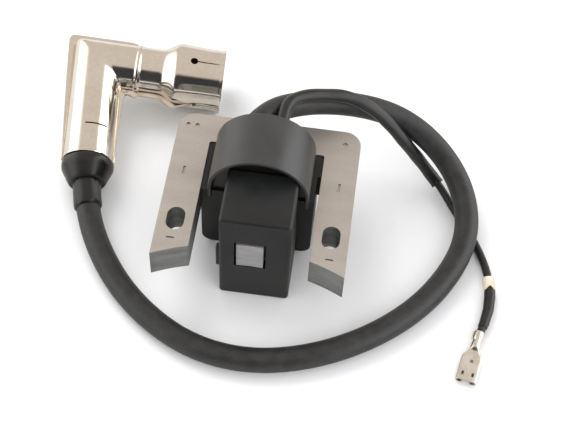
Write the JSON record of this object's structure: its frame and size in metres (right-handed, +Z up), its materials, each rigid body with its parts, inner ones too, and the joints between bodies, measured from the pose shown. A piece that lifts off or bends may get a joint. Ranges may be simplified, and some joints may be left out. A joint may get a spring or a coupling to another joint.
{
  "type": "ignition coil",
  "caption": "Small-engine ignition coil on an E-shaped laminated core, with a plug lead to a metal elbow plug cap and a stop wire to a spade terminal.",
  "frame": {"origin": "on the resting surface, under the middle of the coil's core and case", "axes": "+X to the viewer's right across the core's width, -Y from the yoke to the pole faces and the flywheel, +Z up from the resting surface"},
  "size_m": [0.1674, 0.1274, 0.0521],
  "materials": {
    "laminations": "oiled electrical steel, satin",
    "case_plastic": "moulded, fine satin",
    "cover_plastic": "smooth satin sheet",
    "potting": "cast epoxy",
    "bobbin_plastic": "moulded",
    "bobbin_cream": "moulded",
    "copper_wire": "enamelled copper wire",
    "board": "solder mask",
    "component_body": "moulded epoxy",
    "component_tan": "lacquer",
    "brass_contact": "bright",
    "lead_jacket": "matt rubber with faint mottling",
    "seal_rubber": "moulded rubber, semi-gloss",
    "nickel_plate": "bright nickel plate",
    "insulator_resin": "moulded phenolic",
    "spring_steel": "drawn wire",
    "wire_jacket": "soft plastic",
    "tie_tan": "soft plastic",
    "tinned_brass": "tin plate, slightly dull"
  },
  "bodies": {
    "coil": {"core_laminations": "laminations", "front_case": "case_plastic", "rear_housing": "case_plastic", "arch_cover": "cover_plastic", "case_potting": "potting", "coil_potting": "potting", "primary_bobbin": "bobbin_plastic", "primary_winding": "copper_wire", "secondary_bobbin": "bobbin_cream", "secondary_winding": "copper_wire", "trigger_bobbin": "bobbin_plastic", "trigger_winding": "copper_wire", "circuit_board": "board", "power_transistor": "component_body", "board_components": "component_tan", "ground_strap": "copper_wire", "ht_terminal": "brass_contact", "lead_grommet": "seal_rubber", "wire_grommet": "seal_rubber", "ht_lead": "lead_jacket", "lead_end_cap": "brass_contact", "boot_seal": "seal_rubber", "kill_wire": "wire_jacket", "wire_sleeve": "wire_jacket", "wire_tie": "tie_tan", "terminal_sleeve": "wire_jacket", "spade_terminal": "tinned_brass"},
    "plug_cap": {"shield_upper": "nickel_plate", "shield_lower": "nickel_plate", "boot_insulator": "insulator_resin", "plug_terminal_clip": "brass_contact", "contact_rod": "brass_contact", "contact_spring": "spring_steel"}
  },
  "joints": [
    {"name": "cap_swivel", "type": "hinge", "parent": "coil", "child": "plug_cap", "pos_m": [-0.0695, 0.059, 0.0163], "axis": [0.1111, -0.9819, -0.1532], "range_deg": [0, 180]}
  ]
}
